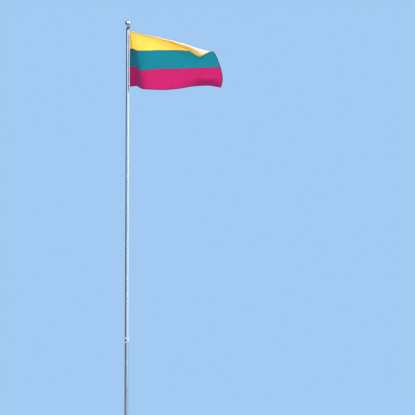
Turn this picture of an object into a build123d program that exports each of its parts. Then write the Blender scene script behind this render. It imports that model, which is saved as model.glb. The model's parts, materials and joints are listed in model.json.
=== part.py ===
"""A garden flagpole: a jointed aluminium tube with a ball on top, a rope and pulley, and a striped flag.

Millimetres. +Z is up, the origin is the middle of the foot's flat face, and the flag streams along +X.
The rope's two strands run down from a small wheel beside the ball to a cleat at chest height.
"""
import os
from bisect import bisect_right
from math import asin, atan2, cos, cosh, degrees, exp, hypot, pi, radians, sin

from build123d import *

# The tube and its joints
tube_diameter = 60.0
tube_wall = 2.0
section_length = 1750.0
section_count = 4
connector_length = 320.0
connector_wall = 2.5
connector_rim = 3.0
slip_clearance = 0.1
foot_flange = 5.0
foot_spigot = 60.0
foot_wall = 4.0
foot_rib = 3.0

# The truck: the black cap that closes the tube and carries the wheel
truck_angle = -68.0
truck_spigot = 50.0
truck_wall = 5.0
truck_flange_overhang = 3.0
truck_flange_height = 8.0
truck_neck_diameter = 34.0
truck_height = 52.0
arm_width = 36.0
arm_corner = 4.0

# The wheel that the rope runs over, and its pin and guard
rope_diameter = 6.0
groove_radius = 11.0
groove_clearance = 0.25
wheel_lip = 4.0
wheel_width = 10.0
wheel_side_gap = 1.0
wheel_distance = 46.0
pin_diameter = 6.0
pin_clearance = 0.05
pin_head_diameter = 11.0
pin_head_height = 3.0
guard_thickness = 3.0
guard_roof_gap = 5.0

# The finial
collar_diameter = 26.0
collar_height = 8.0
stem_diameter = 14.0
stem_height = 22.0
ball_diameter = 100.0
ball_seat_depth = 1.5

# The cleat
cleat_below_joint = 115.0
cleat_angle = -72.0
cleat_length = 132.0
cleat_width = 15.0
cleat_stand_off = 15.0
cleat_post_length = 34.0
horn_root = 12.0
horn_tip = 7.0
horn_rise = 6.0
turns_width = 50.0
turns_length = 92.0
turns_over_horns = 7.0
turns_round = 6.0
turns_gap = 0.3
pole_turn_offset = 43.0
pole_turn_count = 2

# The rope's strands at their lower ends
strand_cleat_gap = 0.5
strand_end_above_cleat = 30.0

# The flag: its height at the rope, and how far its fly edge stands out
flag_height = 1000.0
flag_reach = 1622.0
flag_thickness = 2.0
flag_below_tube_top = 35.0
heading_diameter = 11.0
heading_bore_clearance = 1.0
cloth_gap = 0.3
seam_gap = 1.6
knot_diameter = 15.0
knot_length = 22.0
knot_gap = 1.0
knot_clearance = 0.2
stripe_count = 3

# The flag's folds, as shares of its height: where each stands from the rope, its width, and how far it
# stands forward. The sharp fold beside the rope moves out and grows from the top of the flag to its foot.
crest_place = (0.012, 0.175, -0.055)
crest_height = (0.035, 0.065)
crest_width_before = 0.058
crest_width_after = 0.030
held_length = 0.035
hollows = [(0.33, 0.12, -0.018), (0.62, 0.20, -0.015)]
belly_place, belly_width = 1.48, 0.43
belly_height = (0.060, 0.035)
kick_place, kick_width, kick_height = 1.29, 0.24, 0.045
kick_start = 0.84

# The flag's lines: the share of its reach, and the height above the level line as a share of its height
upper_seam_points = [(0, 0.016), (0.075, -0.012), (0.14, -0.005), (0.27, 0.005), (0.4, 0.010),
                     (0.53, 0.005), (0.66, -0.011), (0.79, -0.022), (0.9, -0.018)]
lower_seam_points = [(0, 0.027), (0.075, -0.005), (0.14, -0.033), (0.2, -0.014), (0.33, 0.002),
                     (0.46, 0.004), (0.72, 0.009), (0.85, 0.008), (0.975, 0.020)]
lower_edge_points = [(0, 0), (0.075, -0.016), (0.14, -0.036), (0.2, -0.033), (0.33, -0.043), (0.46, -0.035),
                     (0.59, -0.013), (0.66, -0.002), (0.85, -0.005), (0.91, -0.014), (0.98, -0.023)]
# The fly edge: the share down the flag, and the share of its reach
fly_edge_points = [(1 / 3, 0.900), (0.42, 0.931), (0.64, 0.974), (0.85, 1.0), (1.0, 0.977)]

# The upper edge has rolled over towards the front: the share along the stripe, and as shares of the flag's
# height the roll's radius, its axis and the length that hangs from it
roll_radius_points = [(0, 0.006), (0.2, 0.022), (0.34, 0.034), (0.5, 0.046), (0.7, 0.054), (0.9, 0.046),
                      (1, 0.028)]
roll_axis_points = [(0, -0.011), (0.2, -0.081), (0.34, -0.140), (0.5, -0.211), (0.7, -0.305), (0.9, -0.392),
                    (1, -0.388)]
roll_hang_points = [(0, 0.003), (0.3, 0.003), (0.45, 0.024), (0.6, 0.030), (0.8, 0.040), (0.9, 0.062),
                    (1, 0.106)]
roll_lean = 0.12
roll_slip = 0.231
roll_slip_start = 0.4
roll_slip_power = 1.6
roll_sunk_limit = 0.95

# How finely the cloth is worked out, and how closely its skins follow
cloth_columns = 44
stripe_rows = 8
roll_rows = 24
column_power = 1.5
skin_tolerance = 0.2
roll_tolerance = 0.3

# Worked out from the sizes above
tube_radius = tube_diameter / 2
bore_radius = tube_radius - tube_wall
rope_radius = rope_diameter / 2
tube_foot = foot_flange
tube_top = tube_foot + section_count * section_length
cleat_height = tube_foot + section_length - cleat_below_joint
wheel_centre_z = tube_top + truck_height - guard_roof_gap - rope_radius - groove_radius
flag_top = tube_top - flag_below_tube_top
cloth_start = heading_diameter / 2 + cloth_gap


def around_pole(distance, sideways, angle, z):
    """A point beside the pole: a distance out along an angle, then sideways from it."""
    a = radians(angle)
    return Vector(distance * cos(a) - sideways * sin(a), distance * sin(a) + sideways * cos(a), z)


def beside_pole(angle, z):
    """A frame on the pole's axis whose X points out along an angle."""
    return Location((0, 0, z), (0, 0, angle))


def disc(radius, z_low, z_high):
    """An upright cylinder between two heights."""
    return Pos(0, 0, (z_low + z_high) / 2) * Cylinder(radius, z_high - z_low)


strand_end_z = cleat_height + strand_end_above_cleat
strand_end_distance = tube_radius + cleat_stand_off + horn_root / 2
strand_spread_low = cleat_width / 2 + strand_cleat_gap + rope_radius
hoist_top = around_pole(wheel_distance, groove_radius, truck_angle, wheel_centre_z)
hoist_end = around_pole(strand_end_distance, strand_spread_low, cleat_angle, strand_end_z)
return_top = around_pole(wheel_distance, -groove_radius, truck_angle, wheel_centre_z)
return_end = around_pole(strand_end_distance, -strand_spread_low, cleat_angle, strand_end_z)


def on_hoist_line(z):
    """The point of the flag's strand at a height."""
    return hoist_end + (hoist_top - hoist_end) * ((z - hoist_end.Z) / (hoist_top.Z - hoist_end.Z))


hoist_direction = (hoist_top - hoist_end).normalized()
flag_frame = Plane(origin=on_hoist_line(flag_top), x_dir=Vector(1, 0, 0), z_dir=hoist_direction).location


def tube_section(index):
    """One length of the pole: an open tube."""
    low = tube_foot + index * section_length
    high = low + section_length
    return disc(tube_radius, low, high) - disc(bore_radius, low, high)


def connector(index):
    """The sleeve inside a joint, with a rim at mid-length that centres it."""
    joint_z = tube_foot + (index + 1) * section_length
    low = joint_z - connector_length / 2
    high = joint_z + connector_length / 2
    outer = bore_radius - slip_clearance
    sleeve = disc(outer, low, high) - disc(outer - connector_wall, low, high)
    waist = disc(outer, low + connector_rim, high - connector_rim) - disc(
        outer - slip_clearance, low + connector_rim, high - connector_rim
    )
    return sleeve - waist


def foot_plug():
    """The moulded plug that closes the foot: a flange as wide as the tube, and a hollow spigot with a
    cross of ribs in it."""
    flange = disc(tube_radius, 0, foot_flange)
    outer = bore_radius - slip_clearance
    spigot = disc(outer, foot_flange, foot_flange + foot_spigot)
    hollow = disc(outer - foot_wall, foot_flange, foot_flange + foot_spigot)
    rib = Pos(0, 0, foot_flange + foot_spigot / 2) * Box(2 * outer - foot_wall, foot_rib, foot_spigot)
    plug = flange + (spigot - hollow) + rib + Rot(0, 0, 90) * rib
    return fillet(plug.edges().group_by(Axis.Z)[0], foot_flange / 5)


def truck_cap():
    """The cap: a spigot in the tube, a flange on its end, a dome, and the arm's inner cheek."""
    spigot_radius = bore_radius - slip_clearance
    spigot = disc(spigot_radius, tube_top - truck_spigot, tube_top)
    spigot -= disc(spigot_radius - truck_wall, tube_top - truck_spigot, tube_top)
    flange_radius = tube_radius + truck_flange_overhang
    flange_top = tube_top + truck_flange_height
    neck_radius = truck_neck_diameter / 2
    top = tube_top + truck_height
    dome_bend = (flange_radius - neck_radius) * 0.35
    with BuildPart() as dome:
        with BuildSketch(Plane.XZ):
            with BuildLine():
                Polyline((0, top), (0, tube_top), (flange_radius, tube_top), (flange_radius, flange_top))
                ThreePointArc(
                    (flange_radius, flange_top),
                    (neck_radius + dome_bend, (flange_top + top) / 2 + dome_bend / 2),
                    (neck_radius, top),
                )
                Line((neck_radius, top), (0, top))
            make_face()
        revolve(axis=Axis.Z)
    cheek_face = wheel_distance - wheel_width / 2 - wheel_side_gap
    cheek = Pos(cheek_face / 2, 0, (tube_top + top) / 2) * Box(cheek_face, arm_width, top - tube_top)
    cheek = fillet(cheek.edges().filter_by(Axis.X), arm_corner)
    pin_bore = Rot(0, 90, 0) * Cylinder(pin_diameter / 2, cheek_face)
    pin_hole = Pos(cheek_face / 2, 0, wheel_centre_z) * pin_bore
    arm = beside_pole(truck_angle, 0) * (cheek - pin_hole)
    hole = beside_pole(truck_angle, 0) * pin_hole
    return spigot + (dome.part + arm - hole)


def pulley_guard():
    """The guard: a roof over the wheel and an outer cheek that carries the pin's far end."""
    outer = wheel_distance + wheel_width / 2 + wheel_side_gap
    roof_low = tube_top + truck_height
    roof_high = roof_low + guard_thickness
    foot_low = wheel_centre_z - pin_head_diameter
    reach = outer + guard_thickness
    roof = Pos(reach / 2, 0, (roof_low + roof_high) / 2) * Box(reach, arm_width, guard_thickness)
    cheek = Pos(outer + guard_thickness / 2, 0, (foot_low + roof_high) / 2) * Box(
        guard_thickness, arm_width, roof_high - foot_low
    )
    guard = fillet((roof + cheek).edges().filter_by(Axis.Y).group_by(Axis.X)[-1].sort_by(Axis.Z)[-1:],
                   guard_thickness * 0.9)
    hole = Pos(outer, 0, wheel_centre_z) * Rot(0, 90, 0) * Cylinder(pin_diameter / 2, 4 * guard_thickness)
    neck = Pos(0, 0, (roof_low + roof_high) / 2) * Cylinder(collar_diameter / 2, guard_thickness)
    return beside_pole(truck_angle, 0) * (guard - hole) - neck


def wheel():
    """The grooved wheel, turned about the pin's axis."""
    lip = groove_radius + wheel_lip
    half = wheel_width / 2
    throat = rope_radius + groove_clearance
    blank = Cylinder(lip, wheel_width) - Cylinder(pin_diameter / 2 + pin_clearance, wheel_width)
    groove = Torus(groove_radius, throat)
    mouth = Cylinder(lip + half, 2 * throat) - Cylinder(groove_radius, 2 * throat)
    turned = blank - groove - mouth
    return beside_pole(truck_angle, wheel_centre_z) * Pos(wheel_distance, 0, 0) * Rot(0, 90, 0) * turned


def wheel_pin():
    """The pin, with a flat head outside the guard."""
    inner_end = wheel_distance / 2
    outer_face = wheel_distance + wheel_width / 2 + wheel_side_gap + guard_thickness
    shank = Pos((inner_end + outer_face) / 2, 0, 0) * Rot(0, 90, 0) * Cylinder(
        pin_diameter / 2, outer_face - inner_end
    )
    head = Pos(outer_face + pin_head_height / 2, 0, 0) * Rot(0, 90, 0) * Cylinder(
        pin_head_diameter / 2, pin_head_height
    )
    return beside_pole(truck_angle, wheel_centre_z) * (shank + head)


def finial():
    """The collar on the cap, the stem and the ball."""
    collar_low = tube_top + truck_height
    collar_high = collar_low + collar_height
    stem_high = collar_high + stem_height
    ball_radius = ball_diameter / 2
    collar = disc(collar_diameter / 2, collar_low, collar_high)
    collar = fillet(collar.edges().group_by(Axis.Z)[-1], collar_height / 4)
    stem = disc(stem_diameter / 2, collar_high, stem_high + ball_seat_depth)
    ball = Pos(0, 0, stem_high + ball_radius) * Sphere(ball_radius)
    return collar, stem - ball, ball


def strand(top, end):
    """One straight run of the rope."""
    section = Pos(*top) * Circle(rope_radius)
    return extrude(section, amount=(end - top).length, dir=(end - top).normalized())


def halyard():
    """The rope's two runs, and its turn over the wheel."""
    turn = Torus(groove_radius, rope_radius, major_angle=180, align=None)
    upright = Plane(origin=(wheel_distance, 0, 0), x_dir=(0, 1, 0), z_dir=(1, 0, 0)).location
    turn = beside_pole(truck_angle, wheel_centre_z) * upright * turn
    return turn + strand(hoist_top, hoist_end) + strand(return_top, return_end)


def cleat():
    """The cleat: a saddle and post on the tube, and two horns that rise towards their tips."""
    foot = tube_radius - cleat_width / 3
    under = tube_radius + cleat_stand_off
    half_post = cleat_post_length / 2
    half = cleat_length / 2
    with BuildPart() as body:
        with BuildSketch(Plane.XZ):
            with BuildLine():
                Line((foot, -half_post), (foot, half_post))
                Line((foot, half_post), (under - rope_diameter, half_post * 0.8))
                Spline(
                    (under - rope_diameter, half_post * 0.8),
                    (under, half_post * 1.4),
                    (under + horn_rise, half),
                )
                Line((under + horn_rise, half), (under + horn_rise + horn_tip, half))
                Spline(
                    (under + horn_rise + horn_tip, half),
                    (under + horn_root, 0),
                    (under + horn_rise + horn_tip, -half),
                )
                Line((under + horn_rise + horn_tip, -half), (under + horn_rise, -half))
                Spline(
                    (under + horn_rise, -half),
                    (under, -half_post * 1.4),
                    (under - rope_diameter, -half_post * 0.8),
                )
                Line((under - rope_diameter, -half_post * 0.8), (foot, -half_post))
            make_face()
        extrude(amount=cleat_width / 2, both=True)
    shaped = body.part - Cylinder(tube_radius, 2 * cleat_length)
    return beside_pole(cleat_angle, cleat_height) * shaped


def cleat_turns(cleat_solid, rope):
    """The rope's figure-of-eight turns on the cleat, as one lump of their outer shape."""
    inner = tube_radius + rope_diameter + 2 * turns_gap
    outer = tube_radius + cleat_stand_off + horn_root + turns_over_horns
    upright = Plane(origin=(inner, 0, 0), x_dir=(0, 1, 0), z_dir=(1, 0, 0)).location
    lump = upright * extrude(Ellipse(turns_width / 2, turns_length / 2), amount=outer - inner)
    lump = fillet(lump.edges().group_by(Axis.X)[-1], turns_round)
    return beside_pole(cleat_angle, cleat_height) * lump - cleat_solid - rope


def pole_turn(side):
    """Turns of the rope's tail laid round the tube, above or below the cleat's post."""
    middle_z = cleat_height + side * pole_turn_offset
    ring_radius = tube_radius + turns_gap + rope_radius
    first = middle_z - (pole_turn_count - 1) * rope_diameter / 2
    rings = [Pos(0, 0, first + i * rope_diameter) * Torus(ring_radius, rope_radius)
             for i in range(pole_turn_count)]
    band = disc(ring_radius + rope_radius / 2, first, first + (pole_turn_count - 1) * rope_diameter)
    band -= disc(ring_radius - rope_radius / 2, first, first + (pole_turn_count - 1) * rope_diameter)
    return band + rings[0] + rings[-1]


def smooth_line(points):
    """A smooth curve through (place, value) points, as a function of place: a cubic between neighbours,
    with the slope at each point taken from the points beside it."""
    places = [place for place, _ in points]
    values = [value for _, value in points]
    last = len(points) - 1
    slopes = []
    for i in range(len(points)):
        before, after = max(i - 1, 0), min(i + 1, last)
        slopes.append((values[after] - values[before]) / (places[after] - places[before]))

    def at(place):
        k = min(max(bisect_right(places, place) - 1, 0), last - 1)
        span = places[k + 1] - places[k]
        s = (place - places[k]) / span
        return (
            (1 + 2 * s) * (1 - s) ** 2 * values[k]
            + s * (1 - s) ** 2 * span * slopes[k]
            + s * s * (3 - 2 * s) * values[k + 1]
            + s * s * (s - 1) * span * slopes[k + 1]
        )

    return at


def bell(x, centre, width):
    """A smooth bump of height one."""
    return exp(-(((x - centre) / width) ** 2))


def clamp(value, low, high):
    """The value, kept between two limits."""
    return min(max(value, low), high)


def cloth_depth(x, down):
    """How far the cloth stands forward, in flag heights, by distance from the rope and share down."""
    held = 1 - bell(x, 0, held_length)
    crest_x = crest_place[0] + crest_place[1] * down + crest_place[2] * down**2
    crest_width = crest_width_before if x < crest_x else crest_width_after
    crest = (crest_height[0] + crest_height[1] * down) / cosh((x - crest_x) / crest_width)
    waves = sum(height * bell(x, centre, width) for centre, width, height in hollows)
    belly = (belly_height[0] + belly_height[1] * down) * bell(x, belly_place, belly_width)
    lowest = max((down - kick_start) / (1 - kick_start), 0) ** roll_slip_power
    kick = kick_height * bell(x, kick_place, kick_width) * lowest
    return held * (crest + waves + belly + kick)


def flag_point(x, forward, z):
    """A point of the flag from its place in flag heights. Forward is towards the front of the pole."""
    return Vector(x * flag_height, -forward * flag_height, z * flag_height)


upper_seam = smooth_line(upper_seam_points)
lower_seam = smooth_line(lower_seam_points)
lower_edge = smooth_line(lower_edge_points)
fly_edge = smooth_line(fly_edge_points)
roll_radius = smooth_line(roll_radius_points)
roll_axis = smooth_line(roll_axis_points)
roll_hang = smooth_line(roll_hang_points)


def distance_out(along, down):
    """The distance from the rope at a share along the flag and a share down it, in flag heights."""
    start = cloth_start / flag_height
    return start + (fly_edge(down) * flag_reach / flag_height - start) * along


def plain_stripe(index, line_above, line_below):
    """A stripe between two lines, as a function of the shares along and down it. It ends just short of the
    stripe under it."""
    short = 0 if index == stripe_count - 1 else seam_gap / flag_height

    def cloth(along, across):
        down = (index + across) / stripe_count
        x = distance_out(along, down)
        share = x * flag_height / flag_reach
        above = line_above(share) - index / stripe_count
        below = line_below(share) - (index + 1) / stripe_count + short
        return flag_point(x, cloth_depth(x, down), above + (below - above) * across)

    return cloth


def rolled_stripe(along, across):
    """The upper stripe. From the seam it stands up to the roll, goes over it in a half turn and hangs down
    in front. Where the roll's axis has sunk below the seam, the cloth joins the turn part of the way up."""
    x = distance_out(along, 1 / stripe_count)
    seam = upper_seam(x * flag_height / flag_reach) - 1 / stripe_count
    radius = roll_radius(along)
    axis = roll_axis(along)
    hang = roll_hang(along)
    standing = max(axis - seam, 0)
    first_turn = asin(clamp((seam - axis) / radius, 0, min(roll_sunk_limit, 1)))
    over = (pi - first_turn) * radius
    start = seam_gap / flag_height
    climbed = start + (1 - across) * (standing + over + hang - start)
    turn = first_turn + clamp((climbed - standing) / radius, 0, pi - first_turn)
    hung = max(climbed - standing - over, 0)
    z = seam + climbed if climbed < standing else axis + radius * sin(turn) - hung
    forward = radius * (cos(first_turn) - cos(turn)) + roll_lean * hung
    slipped = roll_slip * clamp((along - roll_slip_start) / (1 - roll_slip_start), 0, 1) ** roll_slip_power
    share_over = clamp((climbed - standing) / (over + hang), 0, 1)
    down = clamp(-z, 0, 1 / stripe_count)
    return flag_point(x - slipped * share_over, cloth_depth(x, down) + forward, z)


def cloth_grid(cloth, rows):
    """Points of the middle of the cloth, closer together near the rope."""
    return [
        [cloth((i / cloth_columns) ** column_power, j / rows) for j in range(rows + 1)]
        for i in range(cloth_columns + 1)
    ]


def cloth_side(points, distance, tolerance):
    """One side of the cloth: every point moved square to the cloth, and a smooth face through them all."""
    last_column, last_row = len(points) - 1, len(points[0]) - 1
    moved = []
    for i, column in enumerate(points):
        before, after = points[max(i - 1, 0)], points[min(i + 1, last_column)]
        moved.append([
            point + (after[j] - before[j]).cross(column[min(j + 1, last_row)] - column[max(j - 1, 0)])
            .normalized() * distance
            for j, point in enumerate(column)
        ])
    return Face.make_surface_from_array_of_points(moved, tol=tolerance, min_deg=3, max_deg=3)


def stripe(cloth, rows, tolerance):
    """A stripe of real thickness: its two sides, and narrow faces that join their edges."""
    points = cloth_grid(cloth, rows)
    near = cloth_side(points, flag_thickness / 2, tolerance)
    far = cloth_side(points, -flag_thickness / 2, tolerance)
    rims = []
    for edge in near.edges():
        partner = far.edges().sort_by_distance(edge @ 0.5)[0]
        rims.append(Face.make_surface_from_curves(edge, partner))
    return Solid(Shell([near, far, *rims]))


def heading():
    """The white sleeve along the hoist, round the rope."""
    bore = rope_radius + heading_bore_clearance
    return disc(heading_diameter / 2, -flag_height, 0) - disc(bore, -flag_height, 0)


def knot(z):
    """A barrel knot on the rope: three rounded ridges."""
    ridge = knot_length / 3
    half = knot_length / 2
    barrel = disc(knot_diameter / 2 - ridge / 4, z - half + ridge / 3, z + half - ridge / 3)
    for i in (-1, 0, 1):
        barrel += Pos(0, 0, z + i * ridge) * Torus(knot_diameter / 2 - ridge / 2, ridge / 2)
    return barrel - disc(rope_radius + knot_clearance, z - knot_length, z + knot_length)


def build():
    """Every sub-part, by the name that it is kept under."""
    parts = {"foot_plug": foot_plug()}
    for index, name in enumerate(["lower_section", "second_section", "third_section", "top_section"]):
        parts[name] = tube_section(index)
    for index, name in enumerate(["lower_connector", "middle_connector", "upper_connector"]):
        parts[name] = connector(index)
    parts["truck_cap"] = truck_cap()
    parts["pulley_guard"] = pulley_guard()
    parts["pulley_wheel"] = wheel()
    parts["wheel_pin"] = wheel_pin()
    parts["finial_collar"], parts["finial_stem"], parts["finial_ball"] = finial()
    parts["halyard"] = halyard()
    parts["cleat"] = cleat()
    parts["cleat_turns"] = cleat_turns(parts["cleat"], parts["halyard"])
    parts["upper_pole_turn"] = pole_turn(1)
    parts["lower_pole_turn"] = pole_turn(-1)
    parts["flag_heading"] = flag_frame * heading()
    parts["upper_knot"] = flag_frame * knot(knot_gap + knot_length / 2)
    parts["lower_knot"] = flag_frame * knot(-flag_height - knot_gap - knot_length / 2)
    stripes = {
        "flag_upper_stripe": stripe(rolled_stripe, roll_rows, roll_tolerance),
        "flag_middle_stripe": stripe(plain_stripe(1, upper_seam, lower_seam), stripe_rows, skin_tolerance),
        "flag_lower_stripe": stripe(plain_stripe(2, lower_seam, lower_edge), stripe_rows, skin_tolerance),
    }
    for name, cloth in stripes.items():
        parts[name] = flag_frame * cloth
    return parts


def main():
    os.makedirs("parts", exist_ok=True)
    for name, shape in build().items():
        export_step(shape, f"parts/{name}.step")
    lean = degrees(atan2(hypot(hoist_direction.X, hoist_direction.Y), hoist_direction.Z))
    print(f"strand leans {lean:.3f} degrees along {tuple(hoist_direction)}")
    print(f"flag's upper corner {tuple(on_hoist_line(flag_top))}, tube top {tube_top}")


main()
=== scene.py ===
# %% [markdown]
# # A garden flagpole with a striped flag
# A jointed aluminium tube stands seven metres tall. It carries a bright ball, a small rope wheel, a rope
# that runs down to a cleat, and a flag that the wind streams to the right.
# Everything is in metres, in the frame of the solid model: +Z points up, and the origin lies under the
# middle of the foot.

# %% Load the solid model
import json
import math

import bpy
import numpy as np
from mathutils import Matrix, Vector


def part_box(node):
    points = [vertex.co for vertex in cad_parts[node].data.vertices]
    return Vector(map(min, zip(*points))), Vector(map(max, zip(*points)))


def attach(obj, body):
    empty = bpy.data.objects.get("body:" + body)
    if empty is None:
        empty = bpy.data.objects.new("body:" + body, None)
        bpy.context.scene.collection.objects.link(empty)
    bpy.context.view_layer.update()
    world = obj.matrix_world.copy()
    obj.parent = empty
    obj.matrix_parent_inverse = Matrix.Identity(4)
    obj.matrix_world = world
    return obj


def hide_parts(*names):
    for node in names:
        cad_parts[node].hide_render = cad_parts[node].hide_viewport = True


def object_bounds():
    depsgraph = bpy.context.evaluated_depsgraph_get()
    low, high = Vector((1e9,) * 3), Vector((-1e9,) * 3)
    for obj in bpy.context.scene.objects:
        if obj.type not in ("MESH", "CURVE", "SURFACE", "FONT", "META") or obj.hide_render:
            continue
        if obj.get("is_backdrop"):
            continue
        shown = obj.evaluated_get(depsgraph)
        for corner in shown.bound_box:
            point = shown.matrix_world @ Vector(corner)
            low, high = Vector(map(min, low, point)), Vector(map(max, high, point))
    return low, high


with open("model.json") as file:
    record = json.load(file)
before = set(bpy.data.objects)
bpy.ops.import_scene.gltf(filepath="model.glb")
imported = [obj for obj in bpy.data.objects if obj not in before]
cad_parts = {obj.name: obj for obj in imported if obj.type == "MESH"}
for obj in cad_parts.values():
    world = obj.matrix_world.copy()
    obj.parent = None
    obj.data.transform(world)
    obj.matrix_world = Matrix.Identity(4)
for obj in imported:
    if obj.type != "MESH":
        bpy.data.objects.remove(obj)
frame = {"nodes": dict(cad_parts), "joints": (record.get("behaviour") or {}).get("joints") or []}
cad_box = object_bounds()
TAU = 2 * math.pi
MM = 0.001

# %% [markdown]
# ## The camera
# The viewer stands fourteen metres from the pole at eye height and looks up, so that the foot falls below
# the picture. A long lens keeps the tall pole straight.

# %% Camera
CAMERA_PLACE = (0.0, -14.0, 1.6)
CAMERA_YAW = math.radians(5.581)
CAMERA_PITCH = math.radians(9.150)
CAMERA_ROLL = math.radians(-0.663)
FOCAL_PIXELS = 833.8
PICTURE_PIXELS = 415
SENSOR_MM = 36.0


def make_camera():
    """A camera at the viewer's eye. A plain camera looks straight down: a quarter turn and the pitch
    raise it."""
    lens = bpy.data.cameras.new("viewer")
    lens.sensor_width = SENSOR_MM
    lens.lens = FOCAL_PIXELS * SENSOR_MM / PICTURE_PIXELS
    viewer = bpy.data.objects.new("viewer", lens)
    raised = Matrix.Rotation(-CAMERA_YAW, 4, "Z") @ Matrix.Rotation(math.pi / 2 + CAMERA_PITCH, 4, "X")
    viewer.matrix_world = Matrix.Translation(CAMERA_PLACE) @ raised @ Matrix.Rotation(CAMERA_ROLL, 4, "Z")
    bpy.context.scene.collection.objects.link(viewer)
    bpy.context.scene.camera = viewer
    return viewer


viewer = make_camera()
bpy.context.scene.view_settings.view_transform = "Standard"
print("lens", round(viewer.data.lens, 2), "mm")

# %% [markdown]
# ## Surfaces from grids of points
# Rope, cloth, webbing and turned metal are all one idea here: a grid of points, worked out as whole arrays,
# whose neighbours are joined by four-sided faces. A rope's grid is a ring of points square to its path at
# each step, and closes on itself. The distances along and across a grid become the surface's own map, so that
# a weave keeps its true scale. Each finished piece rides on a moving body of the solid model.

# %% A mesh over a grid


def unit(vectors):
    """Each vector divided by its length."""
    return vectors / np.linalg.norm(vectors, axis=-1, keepdims=True)


def grid_faces(rows, columns, closed):
    """Corner numbers of each quad, for points stored row by row. A closed grid's last column joins its
    first."""
    i, j = np.meshgrid(np.arange(rows - 1), np.arange(columns if closed else columns - 1), indexing="ij")
    beside = (j + 1) % columns
    corners = [i * columns + j, i * columns + beside, (i + 1) * columns + beside, (i + 1) * columns + j]
    return np.stack(corners, axis=-1).reshape(-1, 4), i.ravel(), j.ravel()


def grid_mesh(name, points, along, across, closed=False, capped=False):
    """A mesh over a grid of points. along gives each row's distance, and across each column's, with one
    more value where the grid is closed. A capped tube gets a fan of triangles over each open end."""
    rows, columns = points.shape[:2]
    quads, i, j = grid_faces(rows, columns, closed)
    vertices = points.reshape(-1, 3)
    faces = quads.tolist()
    mapped = np.stack([across[j], along[i], across[j + 1], along[i], across[j + 1], along[i + 1],
                       across[j], along[i + 1]], axis=-1).reshape(-1, 2)
    if capped:
        ring = np.arange(columns)
        after = np.roll(ring, -1)
        far = ring + (rows - 1) * columns
        centres = np.stack([points[0].mean(axis=0), points[-1].mean(axis=0)])
        low, high = len(vertices), len(vertices) + 1
        vertices = np.concatenate([vertices, centres])
        near_fan = np.stack([np.full(columns, low), after, ring], axis=-1)
        far_fan = np.stack([np.full(columns, high), far, np.roll(far, -1)], axis=-1)
        faces += near_fan.tolist() + far_fan.tolist()
        spokes = np.stack([across[:columns], np.full(columns, along[0])], axis=-1)
        tips = np.stack([across[:columns], np.full(columns, along[-1])], axis=-1)
        mapped = np.concatenate([mapped, np.repeat(spokes, 3, axis=0), np.repeat(tips, 3, axis=0)])
    mesh = bpy.data.meshes.new(name)
    mesh.from_pydata(vertices.tolist(), [], faces)
    mesh.uv_layers.new(name="Cloth").data.foreach_set("uv", mapped.ravel().astype(np.float32))
    mesh.polygons.foreach_set("use_smooth", np.ones(len(faces), bool))
    mesh.update()
    return mesh


print("grid of 3 by 4 points:", len(grid_faces(3, 4, False)[0]), "faces")

# %% Rings along a path, and a piece from a mesh


def ring_frame(path, reference):
    """The two spokes of a ring at right angles to a path: the reference direction with its part along
    the path taken out, and the direction square to both."""
    ahead = unit(np.gradient(path, axis=0))
    first = unit(reference - (reference * ahead).sum(axis=-1, keepdims=True) * ahead)
    return first, np.cross(ahead, first)


def tube_points(path, radius, reference, around):
    """A ring of points about each point of a path. radius is one number, or one for each row and column."""
    first, second = ring_frame(path, np.asarray(reference, float))
    angle = np.arange(around) / around * TAU
    spoke = np.cos(angle)[:, None] * first[:, None] + np.sin(angle)[:, None] * second[:, None]
    return path[:, None] + spoke * np.broadcast_to(radius, (len(path), around))[..., None]


def closed_mesh(name, rings, along, girth):
    """A capped tube over rings of points. Its map is girth wide."""
    across = np.linspace(0, girth, rings.shape[1] + 1)
    return grid_mesh(name, rings, along, across, closed=True, capped=True)


def length_along(path):
    """Each point's distance from the start of a path."""
    steps = np.linalg.norm(np.diff(path, axis=0), axis=-1)
    return np.concatenate([[0.0], np.cumsum(steps)])


def add_piece(mesh, body, material, replaced=()):
    """A finished piece at the origin, riding on a body of the solid model."""
    piece = bpy.data.objects.new(mesh.name, mesh)
    bpy.context.scene.collection.objects.link(piece)
    mesh.materials.append(material)
    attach(piece, body)
    if replaced:
        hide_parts(*replaced)
    return piece


print("length of a bend", length_along(np.array([[0, 0, 0], [0, 0, 3], [0, 4, 3]]))[-1])

# %% [markdown]
# ## Shader maths that reads like arithmetic
# A material's numbers travel between nodes. Wrapping a socket in a small class lets a formula be written
# as a formula: each + or * adds its own Math node. Every other node comes from one method.

# %% A value in a shader


class Signal:
    """A value that a node gives out. Arithmetic on it adds Math nodes."""

    def __init__(self, finish, socket):
        self.finish = finish
        self.socket = socket

    def of(self, output):
        """Another output of the same node."""
        return Signal(self.finish, self.socket.node.outputs[output])

    def math(self, operation, *operands):
        """A Math node on these operands."""
        return self.finish.node("ShaderNodeMath", {"operation": operation}, dict(enumerate(operands)))

    def __add__(self, other):
        return self.math("ADD", self, other)

    def __sub__(self, other):
        return self.math("SUBTRACT", self, other)

    def __mul__(self, other):
        return self.math("MULTIPLY", self, other)

    def __rsub__(self, other):
        return self.math("SUBTRACT", other, self)

    __radd__ = __add__

    def sin(self):
        """The sine of the value."""
        return self.math("SINE", self)

    def between(self, low, high):
        """0 below low, 1 above high and a smooth rise between them."""
        return self.finish.node("ShaderNodeMapRange", {"interpolation_type": "SMOOTHSTEP"},
                                {"Value": self, "From Min": low, "From Max": high})


print("a signal knows", [name for name in vars(Signal) if name[0] != "_"])

# %% A material's nodes


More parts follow.
